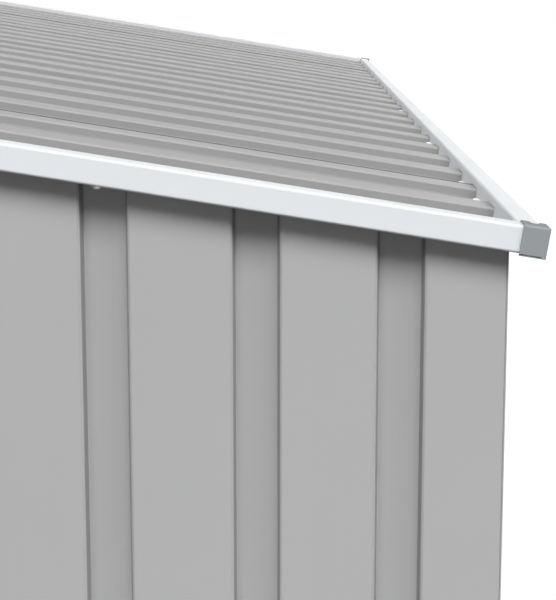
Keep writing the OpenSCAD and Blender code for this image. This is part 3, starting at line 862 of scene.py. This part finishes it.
def floor_finish():
    material = bpy.data.materials.new("studio_floor")
    material.use_nodes = True
    tree = material.node_tree
    tree.nodes.clear()
    bounce = add(tree, "ShaderNodeBsdfDiffuse", {"Color": (FLOOR_BOUNCE,) * 3 + (1,)})
    shade = add(tree, "ShaderNodeBsdfDiffuse", {"Color": (FLOOR_SHADE,) * 3 + (1,)})
    glow = add(tree, "ShaderNodeEmission", {"Strength": FLOOR_GLOW})
    shown = add(tree, "ShaderNodeAddShader", {0: shade.outputs[0], 1: glow.outputs[0]})
    both = add(tree, "ShaderNodeMixShader", {
        0: seen_directly(tree), 1: bounce.outputs[0], 2: shown.outputs[0]})
    add(tree, "ShaderNodeOutputMaterial", {"Surface": both.outputs[0]})
    return material


def studio_floor():
    half = FLOOR_SIZE / 2
    mesh = bpy.data.meshes.new("studio_floor")
    corners = [(-half, -half, 0), (half, -half, 0), (half, half, 0), (-half, half, 0)]
    mesh.from_pydata(corners, [], [(0, 1, 2, 3)])
    mesh.materials.append(floor_finish())
    floor = bpy.data.objects.new("studio_floor", mesh)
    bpy.context.scene.collection.objects.link(floor)


SKY = 0.11                   # light of the studio's walls and ceiling


def studio_world():
    world = bpy.data.worlds.new("studio")
    bpy.context.scene.world = world
    world.use_nodes = True
    tree = world.node_tree
    tree.nodes.clear()
    light = add(tree, "ShaderNodeBackground", {"Strength": SKY})
    shown = add(tree, "ShaderNodeBackground", {"Strength": 1.0})
    for node in (light, shown):
        node.inputs["Color"].default_value = (1, 1, 1, 1)
    both = add(tree, "ShaderNodeMixShader", {
        0: seen_directly(tree), 1: light.outputs[0], 2: shown.outputs[0]})
    add(tree, "ShaderNodeOutputWorld", {"Surface": both.outputs[0]})


def sun(name, towards, strength, softness):
    """A broad lamp far away, with its softness in degrees. towards points to it from the store."""
    data = bpy.data.lights.new(name, "SUN")
    data.energy = strength
    data.angle = math.radians(softness)
    lamp = bpy.data.objects.new(name, data)
    bpy.context.scene.collection.objects.link(lamp)
    lamp.rotation_euler = Vector(towards).to_track_quat("Z", "Y").to_euler()


KEY_DISTANCE = 300.0         # from the store to the long key lamp
KEY_LENGTH = 1800.0          # along Y
KEY_WIDTH = 125.0
KEY_RISE = math.radians(52.5)          # of the lamp's middle above level
KEY_ALONG = 600.0            # from the store to the lamp's middle, to +Y
KEY_BASE = 1.0               # height from which its distance is measured
KEY_GLOW = 7.45              # how bright its face is


def key_strip():
    """A long lamp beside the right end, high up and parallel to the end wall."""
    data = bpy.data.lights.new("key", "AREA")
    data.shape = "RECTANGLE"
    data.size = KEY_LENGTH
    data.size_y = KEY_WIDTH
    data.energy = KEY_GLOW * KEY_LENGTH * KEY_WIDTH * math.pi
    lamp = bpy.data.objects.new("key", data)
    bpy.context.scene.collection.objects.link(lamp)
    away = Vector((math.cos(KEY_RISE), 0, math.sin(KEY_RISE)))
    lamp.location = away * KEY_DISTANCE + Vector((0, KEY_ALONG, KEY_BASE))
    side = Vector((0, 1, 0))
    turn = Matrix((side, away.cross(side), away)).transposed()
    lamp.rotation_euler = turn.to_euler()


studio_floor()
studio_world()
key_strip()
sun("left_fill", towards=(-0.84, 0.52, 0.12), strength=1.3, softness=40)
sun("front_fill", towards=(-0.25, -0.96, 0.05), strength=0.9, softness=12)


# ---- Camera --------------------------------------------------------------------------------------

CAMERA_OUT = 0.9950          # from the right end wall
CAMERA_IN = 0.1602           # from the low rear corner, towards the front
CAMERA_HEIGHT = 1.6076       # above the ground
CAMERA_DOWN = math.radians(8.229)
CAMERA_TURN = math.radians(0.664)      # to the front of straight along the store
LENS = 81.77                 # millimetres
FILM = 36.0                  # millimetres, across
SHIFT = -0.19                # of the lens, downwards, in widths of the film
NEAR_CLIP = 0.05
FAR_CLIP = 200.0


def place_camera():
    data = bpy.data.cameras.new("camera")
    data.lens = LENS
    data.sensor_width = FILM
    data.shift_y = SHIFT
    data.clip_start = NEAR_CLIP
    data.clip_end = FAR_CLIP
    camera = bpy.data.objects.new("camera", data)
    bpy.context.scene.collection.objects.link(camera)
    camera.location = (HALF_WIDTH + CAMERA_OUT, HALF_DEPTH - CAMERA_IN, CAMERA_HEIGHT)
    camera.rotation_euler = (math.pi / 2 - CAMERA_DOWN, 0, math.pi / 2 + CAMERA_TURN)
    bpy.context.scene.camera = camera


place_camera()
bpy.context.scene.view_settings.view_transform = "Standard"
